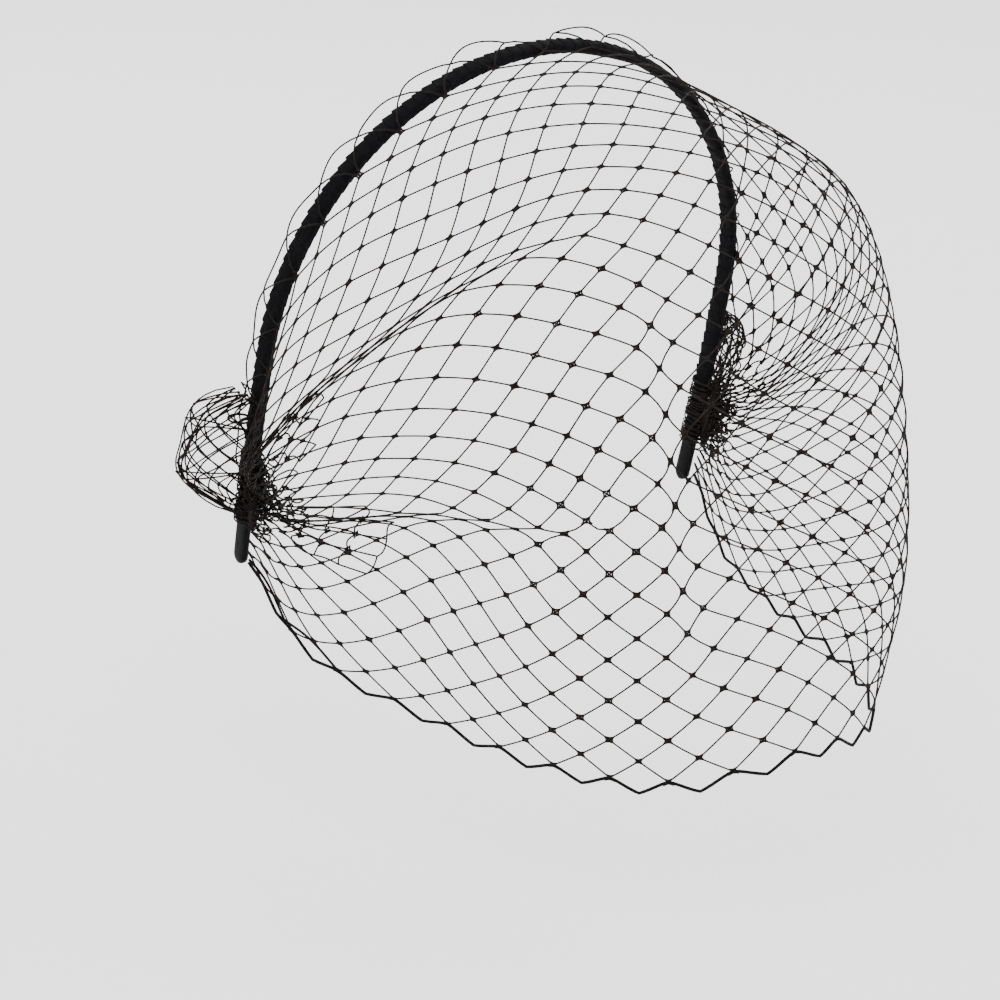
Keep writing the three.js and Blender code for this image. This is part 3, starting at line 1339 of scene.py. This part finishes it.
class Shader:
    """Builds a material's nodes."""

    def __init__(self, finish: Finish) -> None:
        """Starts a material.

        Args:
            finish: the finish that it shows.
        """
        self.finish = finish
        self.material = bpy.data.materials.new(finish.name)
        self.material.use_nodes = True
        self.tree = self.material.node_tree
        self.surface = self.tree.nodes["Principled BSDF"]

    def node(self, kind: str, inputs: dict, **settings) -> bpy.types.Node:
        """Makes one node.

        Args:
            kind: the node's type.
            inputs: sockets or constants by input name or number.
            **settings: properties of the node, which are set first.

        Returns:
            The node.
        """
        made = self.tree.nodes.new(kind)
        for name, value in settings.items():
            setattr(made, name, value)
        for name, value in inputs.items():
            if isinstance(value, Maths):
                value = value.socket
            if isinstance(value, bpy.types.NodeSocket):
                self.tree.links.new(value, made.inputs[name])
            else:
                made.inputs[name].default_value = value
        return made

    def feed(self, name: str, socket: bpy.types.NodeSocket) -> None:
        """Feeds one of the surface's inputs."""
        self.tree.links.new(socket, self.surface.inputs[name])

    def build(self) -> bpy.types.Material:
        """Makes the nodes.

        Returns:
            The material.
        """
        finish = self.finish
        where = self.node("ShaderNodeTexCoord", {})
        noise = self.node(
            "ShaderNodeTexNoise",
            {"Vector": where.outputs["Object"], "Scale": finish.mottle_scale, "Detail": 4.0},
        )
        mottle = Maths(self, noise.outputs["Fac"])
        colour = self.node(
            "ShaderNodeMix",
            {0: mottle, 6: (*finish.dark, 1), 7: (*finish.light, 1)},
            data_type="RGBA",
        )
        self.feed("Base Color", colour.outputs[2])
        low, high = finish.roughness
        self.feed("Roughness", (low + (high - low) * mottle).socket)
        self.surface.inputs["Specular IOR Level"].default_value = finish.specular
        if finish.relief:
            self._relief(where.outputs["UV"], mottle)
        return self.material

    def _relief(self, lengthwise: bpy.types.NodeSocket, mottle: Maths) -> None:
        """Twist of a thread or weave of a ribbon.

        Args:
            lengthwise: the piece's own map, round it and along it in millimetres.
            mottle: the finish's unevenness.
        """
        finish = self.finish
        split = self.node("ShaderNodeSeparateXYZ", {"Vector": lengthwise})
        around, along = Maths(self, split.outputs[0]), Maths(self, split.outputs[1])
        ribs = TURN * finish.rib_around * around + TURN * finish.rib_along * along
        bump = self.node("ShaderNodeBump", {
            "Height": ribs.sine().absolute() + 0.6 * mottle,
            "Strength": 0.6,
            "Distance": finish.relief,
        })
        self.feed("Normal", bump.outputs[0])


FINISHES = {
    Slot.PLASTIC: Finish(
        "black_plastic", (0.001, 0.001, 0.0012), (0.002, 0.002, 0.0025), (0.4, 0.55),
        specular=0.05,
    ),
    Slot.RIBBON: Finish(
        "wound_ribbon", (0.0008, 0.0008, 0.001), (0.004, 0.004, 0.005), (0.8, 1.0),
        specular=0.06, mottle_scale=900.0, rib_around=26.0, relief=0.12 * MM,
    ),
    Slot.NET: Finish(
        "knotted_thread", (0.003, 0.002, 0.0015), (0.01, 0.007, 0.005), (0.7, 0.9),
        specular=0.1, rib_around=1.0, rib_along=1.6, relief=0.06 * MM,
    ),
    Slot.CORD: Finish(
        "selvedge_cord", (0.001, 0.001, 0.001), (0.004, 0.0035, 0.003), (0.7, 0.95),
        specular=0.08, rib_around=2.0, rib_along=0.9, relief=0.1 * MM,
    ),
}


class Wardrobe:
    """Materials by slot, each made once."""

    def __init__(self) -> None:
        """Makes every material."""
        self.materials = {slot: Shader(finish).build() for slot, finish in FINISHES.items()}

    def dress(self, piece: bpy.types.Object, slot: Slot) -> bpy.types.Object:
        """Gives a piece its material, and rides it on the one body of the frame.

        Args:
            piece: the piece.
            slot: the record's slot that it takes its finish from.

        Returns:
            The piece.
        """
        piece.data.materials.append(self.materials[slot])
        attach(piece, "root")
        return piece


# Studio

FLOOR = Finish("pale_floor", (0.93, 0.93, 0.93), (0.95, 0.95, 0.95), (0.9, 1.0))
FLOOR_PROFILE = (  # distance from the middle and height, in metres
    (0.0, 0.0), (0.8, 0.0), (1.6, 0.0), (2.2, 0.12), (2.6, 0.45), (2.8, 1.0), (2.85, 2.4),
)


@dataclass(frozen=True)
class Lamp:
    """A square lamp that faces the veil, with its sizes in metres and its power in watts."""

    name: str
    place: tuple[float, float, float]
    size: float
    power: float


LAMPS = (
    Lamp("key", (-0.9, -1.2, 1.1), 0.8, 22.0),
    Lamp("fill", (1.3, -0.8, 0.5), 1.0, 9.0),
    Lamp("back", (0.3, 1.3, 1.0), 1.0, 12.0),
)


@dataclass(frozen=True)
class Studio:
    """Camera, lights and the pale sweep under and behind the object.

    The camera looks from azimuth and elevation, and shows the target at target_pixel.
    """

    azimuth: float = math.radians(-40)
    elevation: float = math.radians(14)
    distance: float = 1.15
    target: Vector = field(default_factory=lambda: Vector((0, -0.0437, -0.111)))
    target_pixel: tuple[float, float] = (654.25, 501.31)
    metres_per_pixel: float = 0.257 * MM
    image: int = 1000
    floor_drop: float = 30 * MM
    floor_sides: int = 48
    sky: float = 2.0

    def build(self) -> None:
        """Makes the whole studio."""
        self._camera()
        self._floor()
        self._lights()

    def _camera(self) -> None:
        """Stands the camera where the target lies at its pixel of the image."""
        back = Vector((
            math.sin(self.azimuth) * math.cos(self.elevation),
            -math.cos(self.azimuth) * math.cos(self.elevation),
            math.sin(self.elevation),
        ))
        right = Vector((math.cos(self.azimuth), math.sin(self.azimuth), 0))
        up = back.cross(right)
        half = self.image / 2
        aside = (half - self.target_pixel[0]) * self.metres_per_pixel
        above = (self.target_pixel[1] - half) * self.metres_per_pixel
        aim = self.target + right * aside + up * above
        data = bpy.data.cameras.new("camera")
        data.sensor_width = 36.0
        data.lens = data.sensor_width * self.distance / (self.image * self.metres_per_pixel)
        data.clip_start, data.clip_end = 0.01, 20.0
        camera = bpy.data.objects.new("camera", data)
        camera.location = self.target + back * self.distance
        camera.rotation_mode = "QUATERNION"
        camera.rotation_quaternion = (aim - camera.location).to_track_quat("-Z", "Y")
        bpy.context.scene.collection.objects.link(camera)
        bpy.context.scene.camera = camera

    def _floor(self) -> None:
        """A level floor that sweeps up on every side into a pale wall."""
        low = CAD_BOX[0].z - self.floor_drop
        bm = bmesh.new()
        spots = [bm.verts.new((radius, 0, low + height)) for radius, height in FLOOR_PROFILE]
        edges = [bm.edges.new(pair) for pair in zip(spots, spots[1:])]
        bmesh.ops.spin(
            bm, geom=spots + edges, cent=(0, 0, 0), axis=(0, 0, 1), angle=TURN,
            steps=self.floor_sides, use_merge=True,
        )
        bmesh.ops.remove_doubles(bm, verts=bm.verts, dist=0.01 * MM)
        for face in bm.faces:
            face.smooth = True
        floor = make_object("floor", bm)
        floor.data.materials.append(Shader(FLOOR).build())

    def _lights(self) -> None:
        """Lights the veil by an even white sky and the lamps."""
        world = bpy.data.worlds.new("studio")
        world.use_nodes = True
        sky = world.node_tree.nodes["Background"].inputs
        sky["Color"].default_value = (1, 1, 1, 1)
        sky["Strength"].default_value = self.sky
        bpy.context.scene.world = world
        for lamp in LAMPS:
            data = bpy.data.lights.new(lamp.name, "AREA")
            data.size, data.energy = lamp.size, lamp.power
            light = bpy.data.objects.new(lamp.name, data)
            light.location = lamp.place
            light.rotation_mode = "QUATERNION"
            light.rotation_quaternion = (self.target - light.location).to_track_quat("-Z", "Y")
            bpy.context.scene.collection.objects.link(light)


# The veil

LEG = 60 * MM  # straight part of the band on each side
GATHER_RISE = 22 * MM  # from a tip of the band to the middle of its gather
NET_DROP = 163 * MM  # from the crown down to the net's edge
HALF_WALL = 0.6 * MM  # half the thickness of the wall that stands for the net in the frame


@dataclass(frozen=True)
class BirdcageVeil:
    """The whole veil."""

    arch: Arch
    lattice: Lattice
    wardrobe: Wardrobe
    flat_width: float = 293 * MM
    flat_length: float = 267 * MM
    cover: float = 0.3

    @classmethod
    def from_frame(cls) -> "BirdcageVeil":
        """Takes the sizes from the frame.

        Returns:
            The veil.
        """
        _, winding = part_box("ribbon_winding")
        low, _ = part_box("veil_net")
        half_width = winding.x - Arch.thickness / 2
        arch = Arch(half_width, length=half_width * math.pi / 2 + LEG)
        reach, gather_at = -low.y - HALF_WALL, arch.length - GATHER_RISE
        return cls(arch, Lattice(arch, reach, NET_DROP, gather_at), Wardrobe())

    def build(self) -> None:
        """Makes every piece, dresses it and says what it stands for."""
        dress = self.wardrobe.dress
        band = Headband(self.arch)
        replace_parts(dress(band.core(), Slot.PLASTIC), "headband_core")
        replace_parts(dress(band.ribbon(), Slot.RIBBON), "ribbon_winding")
        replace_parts(dress(Selvedge(self.lattice).build(), Slot.CORD), "selvedge_cord")
        for side in Side:
            name = side.name.lower()
            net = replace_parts(dress(Net(self.lattice, side).build(), Slot.NET), "veil_net")
            gather = Gather(self.lattice, side)
            stitches = dress(gather.threads(), Slot.NET)
            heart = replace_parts(dress(gather.heart(), Slot.NET), f"gather_{name}")
            tail = Tail(self.lattice, side).build()
            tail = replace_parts(dress(tail, Slot.NET), f"net_tail_{name}")


def main() -> None:
    """Builds the veil and its studio."""
    BirdcageVeil.from_frame().build()
    Studio().build()


if __name__ == "__main__":
    main()
